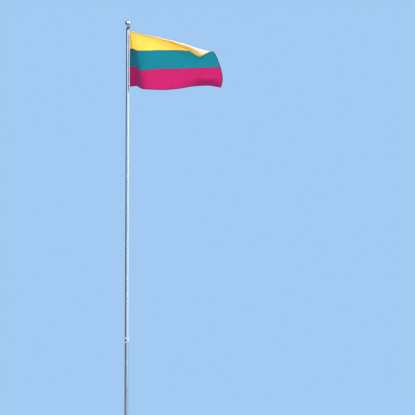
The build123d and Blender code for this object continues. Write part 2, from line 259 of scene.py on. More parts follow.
class Finish:
    """One material, or the world: its nodes, and the shader at its end."""

    def __init__(self, name, store=bpy.data.materials, end="ShaderNodeOutputMaterial"):
        self.owner = store.new(name)
        self.owner.use_nodes = True
        self.tree = self.owner.node_tree
        self.tree.nodes.clear()
        self.output = self.tree.nodes.new(end)

    def node(self, kind, settings=None, sockets=None, output=0):
        """A node of a kind: its settings first, then its sockets' values or links."""
        made = self.tree.nodes.new(kind)
        for setting, value in (settings or {}).items():
            setattr(made, setting, value)
        for socket, value in (sockets or {}).items():
            if isinstance(value, Signal):
                self.tree.links.new(value.socket, made.inputs[socket])
            else:
                made.inputs[socket].default_value = value
        return Signal(self, made.outputs[output])

    def place(self, kind="Object"):
        """The point's own place in metres, or with UV its place on the surface's own map."""
        return self.node("ShaderNodeTexCoord", output=kind)

    def parts(self, vector):
        """A vector's three numbers."""
        split = self.node("ShaderNodeSeparateXYZ", None, {0: vector})
        return split, split.of("Y"), split.of("Z")

    def noise(self, scale, detail=3.0, stretch=(1.0, 1.0, 1.0), kind="Object"):
        """Soft random values about one half, scale cells to a metre, squeezed along each axis by stretch."""
        spread = self.node("ShaderNodeMapping", None, {"Vector": self.place(kind), "Scale": stretch})
        return self.node("ShaderNodeTexNoise", None, {"Vector": spread, "Scale": scale, "Detail": detail})

    def mix(self, share, first, second):
        """From the first colour to the second as share goes from 0 to 1."""
        return self.node("ShaderNodeMix", {"data_type": "RGBA"}, {0: share, 6: first, 7: second}, 2)

    def bump(self, height, depth):
        """The surface's direction, disturbed by a height whose full swing is depth metres."""
        return self.node("ShaderNodeBump", None, {"Height": height, "Distance": depth})

    def principled(self, **sockets):
        """The main shader. A socket's name is written with underscores."""
        named = {name.replace("_", " "): value for name, value in sockets.items()}
        return self.node("ShaderNodeBsdfPrincipled", None, named)

    def close(self, shader):
        """Ends the material with its shader."""
        self.tree.links.new(shader.socket, self.output.inputs["Surface"])
        return self.owner


def shade(colour, factor):
    """A colour made lighter or darker, with its alpha kept."""
    return (*(min(1.0, c * factor) for c in colour[:3]), 1.0)


print("a darker grey", shade((0.5, 0.5, 0.5), 0.8))

# %% [markdown]
# ## Metals and plastics
# The tube is drawn aluminium, with fine lines along it. The cleat is a casting, tumbled until its skin is
# dull. The cap is black moulded plastic with a faint grain, and only dust breaks the polished ball's gloss.
# Each is one shader whose tone, gloss and relief are moved a little by noise, because no real surface is
# even. A noise's first number is its cells to a metre, and its second is how fine its detail goes.

# %% Metals and plastics
DRAW_LINE_DEPTH = 0.03 * MM
CASTING_PIT_DEPTH = 0.08 * MM
PLASTIC_GRAIN_DEPTH = 0.05 * MM
PLASTIC_GLOSS = 0.3


def drawn_aluminium(name, colour, roughness):
    """Aluminium tube: long faint draw lines in its gloss, and a slight change of tone between them."""
    finish = Finish(name)
    lines = finish.noise(900.0, stretch=(1.0, 1.0, 0.004))
    cloud = finish.noise(6.0, stretch=(1.0, 1.0, 0.3))
    tone = finish.mix(cloud.between(0.35, 0.65), shade(colour, 0.94), shade(colour, 1.05))
    return finish.close(finish.principled(
        Base_Color=tone, Metallic=1.0, Roughness=roughness + (lines - 0.5) * 0.22 + (cloud - 0.5) * 0.08,
        Normal=finish.bump(lines, DRAW_LINE_DEPTH)))


def cast_aluminium(name, colour, roughness):
    """Tumbled casting: fine shallow pits, and patches where the skin is a little duller."""
    finish = Finish(name)
    pits = finish.noise(900.0, 2.0)
    patches = finish.noise(60.0)
    tone = finish.mix(patches.between(0.4, 0.65), colour, shade(colour, 0.88))
    return finish.close(finish.principled(
        Base_Color=tone, Metallic=1.0, Roughness=roughness + (patches - 0.5) * 0.25,
        Normal=finish.bump(pits, CASTING_PIT_DEPTH)))


def moulded_plastic(name, colour, roughness):
    """Moulded plastic: a fine spark-eroded grain, and soft patches a little paler with handling."""
    finish = Finish(name)
    grain = finish.noise(1400.0, 2.0)
    cloud = finish.noise(30.0)
    tone = finish.mix(cloud.between(0.4, 0.7), colour, shade(colour, 1.5))
    return finish.close(finish.principled(
        Base_Color=tone, Roughness=roughness + (cloud - 0.5) * 0.2,
        Normal=finish.bump(grain, PLASTIC_GRAIN_DEPTH), Specular_IOR_Level=PLASTIC_GLOSS))


def polished_metal(name, colour, roughness):
    """Polished metal: a clear gloss with a thin veil of dust that gathers in soft patches."""
    finish = Finish(name)
    veil = finish.noise(40.0).between(0.45, 0.8)
    tone = finish.mix(veil, colour, shade(colour, 0.92))
    return finish.close(finish.principled(Base_Color=tone, Metallic=1.0, Roughness=roughness + veil * 0.08))


print("finest relief", DRAW_LINE_DEPTH / MM, "mm deep")

# %% Finishes on the solid pieces
ALUMINIUM = (0.28, 0.34, 0.41, 1.0)
CAST_ALUMINIUM = (0.66, 0.67, 0.69, 1.0)
STEEL = (0.52, 0.53, 0.55, 1.0)
CHROME = (0.52, 0.55, 0.60, 1.0)
BLACK = (0.012, 0.014, 0.019, 1.0)
NYLON = (0.66, 0.66, 0.63, 1.0)

tube_finish = drawn_aluminium("tube_finish", ALUMINIUM, 0.42)
connector_finish = drawn_aluminium("connector_finish", CAST_ALUMINIUM, 0.38)
cleat_finish = cast_aluminium("cleat_finish", CAST_ALUMINIUM, 0.45)
steel_finish = polished_metal("steel_finish", STEEL, 0.22)
chrome_finish = polished_metal("chrome_finish", CHROME, 0.05)
black_finish = moulded_plastic("black_finish", BLACK, 0.42)
wheel_finish = moulded_plastic("wheel_finish", NYLON, 0.45)

finished_nodes = [
    (black_finish, ["foot_plug", "truck_cap", "pulley_guard"]),
    (tube_finish, ["lower_section", "second_section", "third_section", "top_section"]),
    (connector_finish, ["lower_connector", "middle_connector", "upper_connector"]),
    (wheel_finish, ["pulley_wheel"]),
    (steel_finish, ["wheel_pin"]),
    (chrome_finish, ["finial_collar", "finial_stem"]),
]
for material, nodes in finished_nodes:
    for node in nodes:
        frame["nodes"][node].data.materials.clear()
        frame["nodes"][node].data.materials.append(material)
print("finishes on", sum(len(nodes) for _, nodes in finished_nodes), "solid pieces")

# %% [markdown]
# ## Rope fibre and thin cloth
# The rope is braided white fibre, and the thread has the same finish in the cloth's colours. The flag is a
# thin dyed weave that the sun shines through: one shader shows its lit skin, another the light from behind.
# A hem is three layers thick, so less light passes, and its skin is painted darker as the shade of those
# layers. A seam lies on cloth that has coloured the light already, so its own colour is paler.

# %% Rope fibre and thin cloth
PLAIT_PITCH = 5.0 * MM
PLAIT_SLANT = 0.6
PLAIT_DEPTH = 0.25 * MM
WEAVE_PITCH = 0.9 * MM
WEAVE_DEPTH = 0.12 * MM
# A pale cream painted on as a sunlit highlight on the top of the roll and on the turned-over back, and how
# much of the light from behind it shuts out there
PAINTED_HIGHLIGHT_CREAM = (0.95, 0.82, 0.55, 1.0)
HIGHLIGHT_DIMS_GLOW = 0.75


def rope_fibre(name, colour):
    """Braided fibre: a sine along one slant of the surface's own map times a sine along the other, with
    grime in soft patches."""
    finish = Finish(name)
    across, along, _ = finish.parts(finish.place("UV"))
    turn = TAU / PLAIT_PITCH
    slant = along * PLAIT_SLANT
    crossing = ((across + slant) * turn).sin() * ((across - slant) * turn).sin()
    fibre = finish.noise(1500.0, 2.0, stretch=(1.0, 1.0, 0.3))
    grime = finish.noise(25.0).between(0.5, 0.85)
    tone = finish.mix(grime, colour, shade(colour, 0.86))
    return finish.close(finish.principled(
        Base_Color=tone, Roughness=0.72 + fibre * 0.15,
        Normal=finish.bump(crossing + fibre * 0.4, PLAIT_DEPTH), Sheen_Weight=0.2, Sheen_Roughness=0.5))


def woven(finish, pitch):
    """A plain weave's height: warp and weft rise and fall in turn on the surface's own map."""
    across, along, _ = finish.parts(finish.place("UV"))
    turn = TAU / (2 * pitch)
    return (across * turn).sin() * (along * turn).sin()


def thin_cloth(name, colour, glow, lit_share):
    """A woven skin mixed with a shader that shows the light behind, which a sheet's two faces colour twice.
    Where the cloth slants from the viewer, less light comes through: a painted shade in the folds, read from
    a number stored with each point. Along the top of the roll and on the back that shows towards the fly, a
    second stored number paints in a pale cream as a sunlit highlight, and there too less light comes through."""
    finish = Finish(name)
    cloud = finish.noise(5.0, 4.0, kind="UV")
    slub = finish.noise(700.0, 2.0, stretch=(0.05, 1.0, 1.0), kind="UV")
    tone = finish.mix(cloud.between(0.3, 0.7), shade(colour, 0.93), shade(colour, 1.04))
    weave = finish.bump(woven(finish, WEAVE_PITCH) + slub * 0.8, WEAVE_DEPTH)
    # Painted fold shade: less light comes through where the cloth slants from the viewer
    facing = finish.node("ShaderNodeAttribute", {"attribute_name": "Facing"}, None, "Fac")
    # Painted highlight: a stored number that marks the sunlit top of the roll and the turned-over back
    turned = finish.node("ShaderNodeAttribute", {"attribute_name": "Painted_Highlight"}, None, "Fac")
    tone = finish.mix(turned, tone, PAINTED_HIGHLIGHT_CREAM)
    skin = finish.principled(Base_Color=tone, Roughness=0.50 + (slub - 0.5) * 0.1, Normal=weave,
                             Sheen_Weight=0.08, Sheen_Roughness=0.4, Specular_IOR_Level=0.12)
    behind = finish.node("ShaderNodeBsdfTranslucent", None, {"Color": glow, "Normal": weave})
    share = facing * (1 - turned * HIGHLIGHT_DIMS_GLOW) * lit_share
    return finish.close(finish.node("ShaderNodeMixShader", None, {0: share, 1: skin, 2: behind}))


def paler(colour):
    """A colour half way to white."""
    return (*((c + 1) / 2 for c in colour[:3]), 1.0)


print("weave pitch", WEAVE_PITCH / MM, "mm")

# %% Colours of the flag and the rope
ROPE_WHITE = (0.70, 0.71, 0.73, 1.0)
WEBBING_WHITE = (0.93, 0.92, 0.94, 1.0)
WEBBING_GLOW = (0.97, 0.97, 0.97, 1.0)
CLOTH_SHARE = 0.72
SEAM_SHARE = 0.85
HEM_SHARE = 0.45
WEBBING_SHARE = 0.3
# A stripe's skin, the light through it, how far its hem's skin is darkened as painted shade, and how its
# thread is darker or paler than the skin
DYES = {
    "yellow": ((0.98, 0.60, 0.09, 1.0), (1.0, 0.83, 0.32, 1.0), 1.0, 0.8),
    "green": ((0.004, 0.10, 0.17, 1.0), (0.095, 0.525, 0.57, 1.0), 0.7, 1.6),
    "red": ((0.20, 0.010, 0.10, 1.0), (0.865, 0.130, 0.385, 1.0), 0.7, 1.4),
}
rope_finish = rope_fibre("rope_finish", ROPE_WHITE)
webbing_finish = thin_cloth("webbing_finish", WEBBING_WHITE, WEBBING_GLOW, WEBBING_SHARE)
cloth_finishes, seam_finishes, hem_finishes, thread_finishes = {}, {}, {}, {}
for dye, (skin, glow, hem_painted_shade, in_thread) in DYES.items():
    cloth_finishes[dye] = thin_cloth(f"{dye}_finish", skin, glow, CLOTH_SHARE)
    seam_finishes[dye] = thin_cloth(f"{dye}_seam_finish", skin, paler(glow), SEAM_SHARE)
    # Painted shade: the hem's skin darkened as if its layers held back the light
    hem_finishes[dye] = thin_cloth(f"{dye}_hem_finish", shade(skin, hem_painted_shade), glow, HEM_SHARE)
    thread_finishes[dye] = rope_fibre(f"{dye}_thread", shade(skin, in_thread))
print("cloth in", sorted(cloth_finishes))

# %% [markdown]
# ## The ball
# The finial is spun from sheet in two halves that meet at a fine seam round its middle, so it is a turned
# surface: one half circle of points, carried round the pole's axis, with a shallow groove at the equator.

# %% Ball
BALL_ROWS = 96
BALL_AROUND = 128
BALL_SPAN = 0.995 * math.pi / 2
SEAM_DEPTH = 0.5 * MM
SEAM_WIDTH = 0.02


def bell(x, centre, width):
    """A smooth bump: exp(-((x - centre) / width) squared)."""
    return np.exp(-(((x - centre) / width) ** 2))


def turned(radius, height, around):
    """A profile of radii and heights carried round the pole's axis."""
    angle = np.arange(around) / around * TAU
    return np.stack([np.outer(radius, np.cos(angle)), np.outer(radius, np.sin(angle)),
                     np.outer(height, np.ones(around))], axis=-1)


def make_ball():
    """A sphere whose radius dips by a narrow bell at the equator. Its rows span a little less than pole to
    pole, and a small fan closes each end."""
    low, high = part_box("finial_ball")
    radius = (high.z - low.z) / 2
    latitude = np.linspace(-BALL_SPAN, BALL_SPAN, BALL_ROWS)
    distance = radius - SEAM_DEPTH * bell(latitude, 0, SEAM_WIDTH)
    height = distance * np.sin(latitude) + (high.z + low.z) / 2
    points = turned(distance * np.cos(latitude), height, BALL_AROUND)
    mesh = closed_mesh("finial_ball_polished", points, latitude * radius, TAU * radius)
    return add_piece(mesh, "pole", chrome_finish, ["finial_ball"])


print("ball", len(make_ball().data.polygons), "faces")

# %% [markdown]
# ## The rope
# One rope is pulled tight: up the flag's side, over the wheel and down again to the cleat. Its straight runs
# follow from the solid model's joints: the flag swings about the first, and the wheel's pin says where it
# turns over. The braid is real relief: every second point of the rings is raised, which makes the small
# diamonds of an eight-plait rope.

# %% Where the rope runs
UP = np.array([0.0, 0.0, 1.0])
ROPE_RADIUS = 3.0 * MM
GROOVE_RADIUS = 11.0 * MM
CLEAT_ANGLE = math.radians(-72.0)
swing = next(joint for joint in frame["joints"] if joint["name"] == "flag_swing")
spin = next(joint for joint in frame["joints"] if joint["name"] == "pulley_spin")
flag_corner = np.array(swing["pos_m"])
strand_up = unit(np.array(swing["axis"]))
pin_axis = unit(np.array(spin["axis"]))
wheel_centre = np.array(spin["pos_m"])
strand_end_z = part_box("halyard")[0].z
cleat_out = np.array([math.cos(CLEAT_ANGLE), math.sin(CLEAT_ANGLE), 0.0])
cleat_side = np.array([-math.sin(CLEAT_ANGLE), math.cos(CLEAT_ANGLE), 0.0])
wheel_side = np.array([-pin_axis[1], pin_axis[0], 0.0])
hoist_top = wheel_centre + GROOVE_RADIUS * wheel_side
hoist_end = hoist_top - strand_up * (hoist_top[2] - strand_end_z) / strand_up[2]
return_top = wheel_centre - GROOVE_RADIUS * wheel_side
return_end = hoist_end - 2 * (hoist_end @ cleat_side) * cleat_side
print("strands", round(2 * float(hoist_end @ cleat_side) / MM, 1), "mm apart at the cleat")

# %% The halyard
PLAIT_STEP = 3.0 * MM
PLAIT_AROUND = 16
PLAIT_RELIEF = 0.05
TUCK_LENGTH = 26 * MM
TUCK_DEPTH = 8 * MM
TUCK_STEPS = 9
WHEEL_STEPS = 12


def line(start, end, step):
    """Evenly spaced points from start to end, ends included."""
    count = max(2, int(round(np.linalg.norm(end - start) / step)) + 1)
    return start + np.linspace(0, 1, count)[:, None] * (end - start)


def rope_mesh(name, path, reference, radius=ROPE_RADIUS):
    """A braided rope along a path: the ring's radius is raised and lowered in turn, as diamonds."""
    i, j = np.meshgrid(np.arange(len(path)), np.arange(PLAIT_AROUND), indexing="ij")
    relief = radius * (1 + PLAIT_RELIEF * np.where((i + j) % 2, -1.0, 1.0))
    points = tube_points(path, relief, reference, PLAIT_AROUND)
    return closed_mesh(name, points, length_along(path), TAU * radius)


def tucked(end):
    """The last of a strand: from its end it falls, and curves in behind the horn towards the tube."""
    t = np.linspace(0, 1, TUCK_STEPS + 1)[1:, None]
    return end - TUCK_LENGTH * t * UP - TUCK_DEPTH * t ** 2 * cleat_out


def halyard_path():
    """Up the hoist strand, half a circle over the wheel, and down the return strand."""
    turn = np.linspace(0, math.pi, WHEEL_STEPS + 1)[1:-1, None]
    over = wheel_centre + GROOVE_RADIUS * (np.cos(turn) * wheel_side + np.sin(turn) * UP)
    return np.concatenate([
        tucked(hoist_end)[::-1], line(hoist_end, hoist_top, PLAIT_STEP), over,
        line(return_top, return_end, PLAIT_STEP), tucked(return_end)])


add_piece(rope_mesh("halyard_rope", halyard_path(), pin_axis), "pole", rope_finish,
          ["halyard"])
print("rope", round(float(length_along(halyard_path())[-1]), 2), "m")

# %% [markdown]
# ## The cleat
# The cleat is a bar of two horns that thin and rise towards rounded tips, on an oval post that flares where
# it stands on the tube. Both are rows of squashed rings.

# %% The cleat
tube_low, tube_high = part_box("top_section")
cleat_low, cleat_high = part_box("cleat")
TUBE_RADIUS = (tube_high.x - tube_low.x) / 2
CLEAT_MIDDLE_Z = (cleat_low.z + cleat_high.z) / 2
CLEAT_HALF_LENGTH = (cleat_high.z - cleat_low.z) / 2
CLEAT_FACE = TUBE_RADIUS + 27 * MM
HORN_ROWS = 61
HORN_GAP = 15 * MM
HORN_LIFT = 6 * MM
HORN_LIFT_POWER = 1.8
HORN_TIP_OUT = 1 * MM
HORN_HALF_WIDTH = 7.4 * MM
HORN_NARROWING = 0.22
TIP_POWER = 10
TIP_SMALLEST = 1e-4
BAR_AROUND = 32
BAR_SQUARENESS = 0.55
POST_ROWS = 24
POST_SUNK = 3 * MM
POST_REACH = 19 * MM
POST_HALF_WIDTH = 6.2 * MM
POST_HALF_HEIGHT = 14.5 * MM
POST_FLARE = 0.22
FLARE_REACH = 3 * MM


def at_cleat(out, side, rise):
    """A place from its distance out from the pole's axis, its distance to the side, and its height."""
    return out[..., None] * cleat_out + side[..., None] * cleat_side + rise[..., None] * UP


def squarer(wave, power):
    """A sine or cosine whose size is raised to a power below 1, with its sign kept."""
    return np.sign(wave) * np.abs(wave) ** power


def make_horns():
    """t goes from -1 at one tip to 1 at the other. The inner face moves out by a power of |t|, the outer one
    by |t|, and the section shrinks by sqrt(1 - |t| to the tenth)."""
    t = np.sin(np.linspace(-1, 1, HORN_ROWS) * math.pi / 2)[:, None]
    rounded = np.sqrt(np.clip(1 - np.abs(t) ** TIP_POWER, TIP_SMALLEST, 1))
    inner = TUBE_RADIUS + HORN_GAP + HORN_LIFT * np.abs(t) ** HORN_LIFT_POWER
    outer = CLEAT_FACE + HORN_TIP_OUT * np.abs(t)
    half_out = (outer - inner) / 2 * rounded
    half_side = HORN_HALF_WIDTH * (1 - HORN_NARROWING * t ** 2) * rounded
    angle = np.arange(BAR_AROUND) / BAR_AROUND * TAU
    points = at_cleat((inner + outer) / 2 + half_out * squarer(np.cos(angle), BAR_SQUARENESS),
                      half_side * squarer(np.sin(angle), BAR_SQUARENESS),
                      CLEAT_MIDDLE_Z + CLEAT_HALF_LENGTH * t + 0 * angle)
    return closed_mesh("cleat_horns", points, CLEAT_HALF_LENGTH * (t[:, 0] + 1), 4 * half_out.max())


def make_post():
    """Ellipses from inside the tube's wall outwards, which flare by a bell where they meet the tube."""
    out = np.linspace(TUBE_RADIUS - POST_SUNK, TUBE_RADIUS + POST_REACH, POST_ROWS)[:, None]
    flare = 1 + POST_FLARE * bell(np.clip(out - TUBE_RADIUS, 0, None), 0, FLARE_REACH)
    angle = np.arange(BAR_AROUND) / BAR_AROUND * TAU
    points = at_cleat(out + 0 * angle, POST_HALF_WIDTH * flare * np.sin(angle),
                      CLEAT_MIDDLE_Z + POST_HALF_HEIGHT * flare * np.cos(angle))
    return closed_mesh("cleat_post", points[::-1], out[:, 0], 4 * POST_HALF_HEIGHT)


add_piece(make_horns(), "pole", cleat_finish, ["cleat"])
add_piece(make_post(), "pole", cleat_finish)
print("cleat", round(2 * CLEAT_HALF_LENGTH / MM, 1), "mm long at", round(CLEAT_MIDDLE_Z, 3), "m")

# %% [markdown]
# ## The rope at the cleat
# Figure-of-eight turns pass behind each horn and cross in front of the cleat's post, and spare rope is laid
# round the tube above and below the post. An eight is a sine in height and a sine at twice the speed
# sideways. A third wave carries the rope in behind the horns and out over the crossing.

# %% Turns on the cleat and round the tube
EIGHT_COUNT = 5
EIGHT_STEPS = 96
EIGHT_HALF_HEIGHT = (27 * MM, 42 * MM)
EIGHT_HALF_WIDTH = (12 * MM, 21.5 * MM)
EIGHT_PILE = 2.2 * ROPE_RADIUS
EIGHT_BACK = TUBE_RADIUS + 11.3 * MM
EIGHT_DRIFT = 2.2 * MM
DRIFT_SPEED = 0.43
POLE_TURNS = 4
TURN_STEPS = 72
TURN_CLEAR = 1.1 * ROPE_RADIUS
POST_CLEAR = 21 * MM
LOOSE_TURN = 0.6 * MM
LOOSE_SPEED = 2.3


def figure_of_eight():
    """Height A sin t, side B sin 2t and distance out C + D cos 2t, all growing a little with each turn."""
    t = np.linspace(0, EIGHT_COUNT * TAU, EIGHT_COUNT * EIGHT_STEPS + 1)
    share = t / t[-1]
    tall = np.interp(share, (0, 1), EIGHT_HALF_HEIGHT)
    wide = np.interp(share, (0, 1), EIGHT_HALF_WIDTH)
    front = CLEAT_FACE + ROPE_RADIUS + EIGHT_PILE * share
    out = (front + EIGHT_BACK) / 2 + (front - EIGHT_BACK) / 2 * np.cos(2 * t)
    drift = EIGHT_DRIFT * np.sin(DRIFT_SPEED * t)
    return at_cleat(out, wide * np.sin(2 * t), CLEAT_MIDDLE_Z + drift + tall * np.sin(t))


def pole_turns(node):
    """A helix round the tube, from the cleat's post outwards, that moves a little more than one rope along
    for each turn."""
    low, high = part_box(node)
    if low.z > CLEAT_MIDDLE_Z:
        start, end = CLEAT_MIDDLE_Z + POST_CLEAR, high.z - ROPE_RADIUS
    else:
        start, end = CLEAT_MIDDLE_Z - POST_CLEAR, low.z + ROPE_RADIUS
    t = np.linspace(0, POLE_TURNS, POLE_TURNS * TURN_STEPS)
    angle = CLEAT_ANGLE + t * TAU
    distance = TUBE_RADIUS + TURN_CLEAR + LOOSE_TURN * (1 + np.sin(LOOSE_SPEED * t)) / 2
    rise = start + (end - start) * t / POLE_TURNS
    return np.stack([distance * np.cos(angle), distance * np.sin(angle), rise], axis=-1)


add_piece(rope_mesh("cleat_rope", figure_of_eight(), cleat_out), "pole", rope_finish,
          ["cleat_turns"])
for node in ("upper_pole_turn", "lower_pole_turn"):
    turns = pole_turns(node)
    add_piece(rope_mesh(node + "_rope", turns, UP), "pole", rope_finish, [node])
    print(node, "moves", round(float(np.ptp(turns[:, 2])) / POLE_TURNS / MM, 1), "mm a turn")

# %% [markdown]
# ## Knots
# A barrel knot holds the flag's corners to the rope. The tail is wound three times round the standing part,
# so the knot is a short, tight helix of rope, with its ends tucked in.

# %% Knots
KNOT_TURNS = 3.5
KNOT_STEPS = 48
KNOT_ROPE = 2.3 * MM
KNOT_SEAT = 0.9
KNOT_TUCK = 0.5
KNOT_TUCK_POWER = 12


def make_knot(node):
    """A helix round the hoist strand, as long as the solid knot. It sinks in at both ends by a high power of
    the distance from its middle."""
    low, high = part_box(node)
    middle = (low.z + high.z) / 2
    centre = flag_corner + strand_up * (middle - flag_corner[2]) / strand_up[2]
    t = np.linspace(-0.5, 0.5, int(KNOT_TURNS * KNOT_STEPS))[:, None]
    angle = t * KNOT_TURNS * TAU
    distance = ROPE_RADIUS + KNOT_ROPE * (KNOT_SEAT - KNOT_TUCK * np.abs(2 * t) ** KNOT_TUCK_POWER)
    side = unit(np.cross(strand_up, np.array([0.0, 1.0, 0.0])))
    front = unit(np.cross(side, strand_up))
    path = (centre + (high.z - low.z - 2 * KNOT_ROPE) * t * strand_up
            + distance * np.cos(angle) * side + distance * np.sin(angle) * front)
    mesh = rope_mesh(node + "_rope", path, strand_up, KNOT_ROPE)
    return add_piece(mesh, "hoist_gear", rope_finish, [node])


for node in ("upper_knot", "lower_knot"):
    print(node, len(make_knot(node).data.polygons), "faces")

# %% [markdown]
# ## The flag's outline
# The wind streams the cloth to the right. Its upper edge has rolled over towards the viewer, from nothing at
# the rope to a broad turned-over corner at the fly. A smooth curve through a few points sets each line.

# %% Lines of the flag


def smooth_line(places, values):
    """A smooth curve through a few points: a cubic between neighbours, whose slope at each point is that of
    the line from the point before it to the point after it."""
    x, y = np.array(places, float), np.array(values, float)
    after = np.minimum(np.arange(len(x)) + 1, len(x) - 1)
    before = np.maximum(np.arange(len(x)) - 1, 0)
    slope = (y[after] - y[before]) / (x[after] - x[before])

    def at(t):
        """The curve's value at t."""
        k = np.clip(np.searchsorted(x, t, side="right") - 1, 0, len(x) - 2)
        span = x[k + 1] - x[k]
        s = (t - x[k]) / span
        return ((1 + 2 * s) * (1 - s) ** 2 * y[k] + s * (1 - s) ** 2 * span * slope[k]
                + s ** 2 * (3 - 2 * s) * y[k + 1] + s ** 2 * (s - 1) * span * slope[k + 1])

    return at


# How far each seam and the lower edge stand above their level line, by share of the reach
upper_seam = smooth_line([0.0, 0.075, 0.14, 0.27, 0.4, 0.53, 0.66, 0.79, 0.9],
                         [0.016, -0.012, -0.005, 0.005, 0.010, 0.005, -0.011, -0.022, -0.018])
lower_seam = smooth_line([0.0, 0.075, 0.14, 0.2, 0.33, 0.46, 0.72, 0.85, 0.975],
                         [0.027, -0.005, -0.033, -0.014, 0.002, 0.004, 0.009, 0.008, 0.020])
lower_edge = smooth_line(
    [0.0, 0.075, 0.14, 0.2, 0.33, 0.46, 0.59, 0.66, 0.85, 0.91, 0.98],
    [0.0, -0.016, -0.036, -0.033, -0.043, -0.035, -0.013, -0.002, -0.005, -0.014, -0.023])
# The fly edge's share of the reach, by share down the flag
fly_edge = smooth_line([1 / 3, 0.42, 0.64, 0.85, 1.0], [0.900, 0.931, 0.974, 1.0, 0.977])
# The rolled edge, by share along the flag: its radius, its axis' height, and the length that hangs in front
ROLL_SHARES = [0.0, 0.2, 0.34, 0.5, 0.7, 0.9, 1.0]
roll_radius = smooth_line(ROLL_SHARES, [0.006, 0.022, 0.034, 0.046, 0.054, 0.046, 0.028])
roll_axis = smooth_line(ROLL_SHARES, [-0.011, -0.081, -0.140, -0.211, -0.305, -0.392, -0.388])
roll_hang = smooth_line([0.0, 0.3, 0.45, 0.6, 0.8, 0.9, 1.0],
                        [0.003, 0.003, 0.024, 0.030, 0.040, 0.060, 0.090])
print("the roll's radius half way out:", round(float(roll_radius(0.5)) / MM), "mm")

# %% [markdown]
# ## The flag's folds
# A sharp fold runs down beside the rope and moves out as it falls. Shallow hollows follow it, then a belly
# near the fly, where the lower edge kicks forward. The sharp fold is worked out as the lower of two slopes,
# because tight cloth has a narrow crest, and each softer swell is a bell curve.

# %% Folds
# By share down the flag: a value at the top, and what is added with the share and with its square
CREST_PLACE = (0.012, 0.175, -0.055)
CREST_HEIGHT = (0.036, 0.066)
TROUGH_DEPTH = (0.008, 0.020)
FALL_WIDTH = (0.075, 0.020)
BELLY_HEIGHT = (0.060, 0.035)
CREST_ROUND = 0.003
CREST_FADE_START = 0.30
CREST_FADE_WIDTH = 0.20
HELD_WIDTH = 0.020
# The swells: a height, a distance from the rope and a half width, as far as each needs its own
HOLLOWS = [(-0.008, 0.33, 0.12), (-0.015, 0.62, 0.20)]
RIDGE = (0.006, 0.009)
BELLY = (1.48, 0.43)
KICK = (0.064, 1.31, 0.27)
KICK_START = 0.85
KICK_POWER = 1.3
# Each ripple's wave length, the lean of its direction, its start and its height in millimetres
RIPPLES = [(0.31, 0.35, 0.4, 2.2), (0.19, -0.5, 1.3, 1.2), (0.42, 1.2, 2.2, 1.8), (0.12, 0.15, 0.9, 0.6)]
RIPPLE_START = 0.15


def ramp(x, start, end):
    """0 at start, 1 at end, a straight line between them and level outside."""
    return np.clip((x - start) / (end - start), 0, 1)


def grown(values, share):
    """a + b share + c share squared, for values (a, b, c), or without the last term for (a, b)."""
    return sum(value * share ** power for power, value in enumerate(values))


def fold_depth(x, down):
    """How far the cloth stands towards the viewer, by distance from the rope and share down the flag. The
    sharp fold is the lower of a straight climb and a fall like 1 - tanh, rounded where they meet, with a
    thin ridge on it. Then come the hollows, the belly and the lower edge's kick."""
    crest_x = grown(CREST_PLACE, down)
    height = grown(CREST_HEIGHT, down)
    trough = grown(TROUGH_DEPTH, down)
    climb = height * x / crest_x
    fall = (height + trough) * (1 - np.tanh((x - crest_x) / grown(FALL_WIDTH, down))) - trough
    crest = -CREST_ROUND * np.logaddexp(-climb / CREST_ROUND, -fall / CREST_ROUND)
    crest = crest * bell(np.clip(x - CREST_FADE_START, 0, None), 0.0, CREST_FADE_WIDTH)
    ridge = RIDGE[0] * bell(x, crest_x, RIDGE[1])
    hollows = sum(depth * bell(x, place, width) for depth, place, width in HOLLOWS)
    belly = grown(BELLY_HEIGHT, down) * bell(x, *BELLY)
    kick = KICK[0] * bell(x, *KICK[1:]) * ramp(down, KICK_START, 1) ** KICK_POWER
    held = 1 - bell(x, 0.0, HELD_WIDTH)
    return held * (crest + ridge + hollows + belly + kick)


def ripples(x, z):
    """Small waves in the cloth, each a sine along its own direction, that grow away from the rope."""
    height = sum(high_mm * MM * np.sin(TAU * (x * math.cos(lean) + z * math.sin(lean)) / wave_length + start)
                 for wave_length, lean, start, high_mm in RIPPLES)
    return height * (1 - bell(x, 0.0, RIPPLE_START))


print("the crest is", round(grown(CREST_PLACE, 1.0) / MM), "mm from the rope at the lower edge")

# %% [markdown]
# ## The stripes' surfaces
# Each stripe is a function: a share along the flag and a share down the stripe go in, and a place comes out.
# It is the solid model's own shape, with small ripples added. The upper one carries the cloth over the roll.

# %% The stripes' surfaces
FLAG_REACH = 1.622
CLOTH_START = 5.8 * MM
TOWARDS_VIEWER = np.array([0.0, -1.0, 0.0])
ALONG_FLAG = np.array([1.0, 0.0, 0.0])
ROLL_LEAN = 0.12
ROLL_LEAN_MORE = 0.20
ROLL_LEAN_POWER = 3
ROLL_SLIP = 0.231
ROLL_SLIP_START = 0.4
ROLL_SLIP_POWER = 1.6
ROLL_SUNK_LIMIT = 0.95


def in_flag_frame(x, towards, z):
    """A place on the flag from its distance out, towards the viewer and above the upper corner."""
    return (flag_corner + np.asarray(z)[..., None] * strand_up + np.asarray(x)[..., None] * ALONG_FLAG
            + np.asarray(towards)[..., None] * TOWARDS_VIEWER)


def distance_out(along, down):
    """The distance from the rope at a share along the flag and a share down it."""
    return CLOTH_START + (fly_edge(down) * FLAG_REACH - CLOTH_START) * along


def plain_stripe(line_above, line_below, index):
    """A stripe's surface between two lines of the flag, as a function of shares along and down it."""

    def cloth(along, across):
        """The place at a share along the flag and a share down the stripe."""
        down = (index + across) / 3
        x = distance_out(along, down)
        above = line_above(x / FLAG_REACH) - index / 3
        below = line_below(x / FLAG_REACH) - (index + 1) / 3
        z = above + (below - above) * across
        return in_flag_frame(x, fold_depth(x, down) + ripples(x, z), z)

    return cloth


